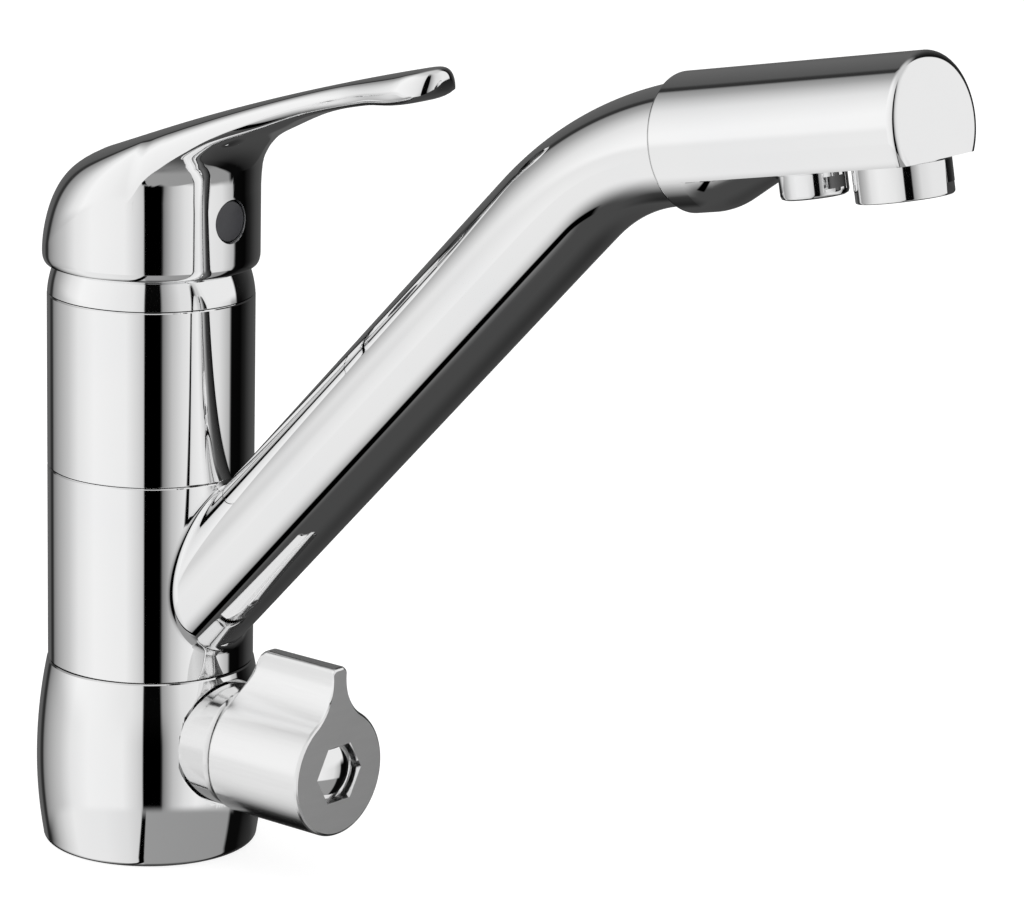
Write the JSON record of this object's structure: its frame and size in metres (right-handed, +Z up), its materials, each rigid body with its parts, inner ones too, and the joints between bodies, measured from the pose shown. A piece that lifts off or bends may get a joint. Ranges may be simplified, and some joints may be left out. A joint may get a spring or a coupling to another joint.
{
  "type": "three way kitchen mixer tap",
  "caption": "Single lever kitchen mixer with a second quarter turn valve in its base for filtered water and two separate outlets in its swivel spout.",
  "frame": {"origin": "on the column axis at the worktop, centre of the round foot", "axes": "+X along the spout, lever and filter knob at rest; +Z up the column; +Y across"},
  "size_m": [0.2547, 0.0556, 0.2219],
  "materials": {
    "brass": "machined",
    "brass_plated": "turned and plated",
    "ceramic": "lapped ceramic",
    "chrome": "polished",
    "grey_plastic": "moulded",
    "hose": "smooth",
    "rubber": "matt",
    "satin": "satin",
    "steel": "machined",
    "white_plastic": "moulded"
  },
  "bodies": {
    "base": {"base_body": "chrome", "base_gasket": "rubber", "valve_core": "brass", "lower_hub_o_ring": "rubber", "middle_hub_o_ring": "rubber", "upper_hub_o_ring": "rubber", "lower_slip_ring": "white_plastic", "upper_slip_ring": "white_plastic", "upper_body": "chrome", "cartridge_seals": "rubber", "cartridge_base": "white_plastic", "cartridge_housing": "white_plastic", "fixed_ceramic_disc": "ceramic", "retaining_nut": "brass", "dome_collar": "chrome", "filter_bonnet": "chrome", "bonnet_o_ring": "rubber", "filter_fixed_disc": "ceramic"},
    "spout": {"spout_arm": "chrome", "filtered_water_tube": "hose", "head_o_ring": "rubber", "spout_head": "chrome", "main_outlet_shell": "brass_plated", "main_outlet_grid": "white_plastic", "main_outlet_washer": "rubber", "filter_outlet_shell": "brass_plated", "filter_outlet_grid": "white_plastic", "filter_outlet_washer": "rubber"},
    "turret": {"cartridge_turret": "white_plastic", "pivot_pin": "steel"},
    "lever": {"lever_handle": "chrome", "handle_grub_screw": "steel", "index_plug": "grey_plastic", "cartridge_stem": "steel"},
    "disc_slide": {"moving_ceramic_disc": "ceramic", "disc_carrier": "white_plastic"},
    "knob": {"filter_knob": "satin", "knob_screw": "steel", "knob_cap": "chrome", "filter_spindle": "brass", "spindle_o_ring": "rubber", "filter_moving_disc": "ceramic"}
  },
  "joints": [
    {"name": "spout_swivel", "type": "hinge", "parent": "base", "child": "spout", "pos_m": [0, 0, 0.07], "axis": [0, 0, 1], "continuous": true},
    {"name": "lever_swing", "type": "hinge", "parent": "base", "child": "turret", "pos_m": [0, 0, 0.135], "axis": [0, 0, 1], "range_deg": [-45, 45]},
    {"name": "lever_lift", "type": "hinge", "parent": "turret", "child": "lever", "pos_m": [0, 0, 0.135], "axis": [0, -1, 0], "range_deg": [0, 25]},
    {"name": "mixing_disc_slide", "type": "slide", "parent": "turret", "child": "disc_slide", "axis": [1, 0, 0], "range_m": [-0.001, 0.006]},
    {"name": "filter_knob_turn", "type": "hinge", "parent": "base", "child": "knob", "pos_m": [0.05, 0, 0.0293], "axis": [1, 0, 0], "range_deg": [0, 90]}
  ],
  "couplings": [
    {"joint": "mixing_disc_slide", "follows": "lever_lift", "m_per_rad": 0.0107}
  ]
}
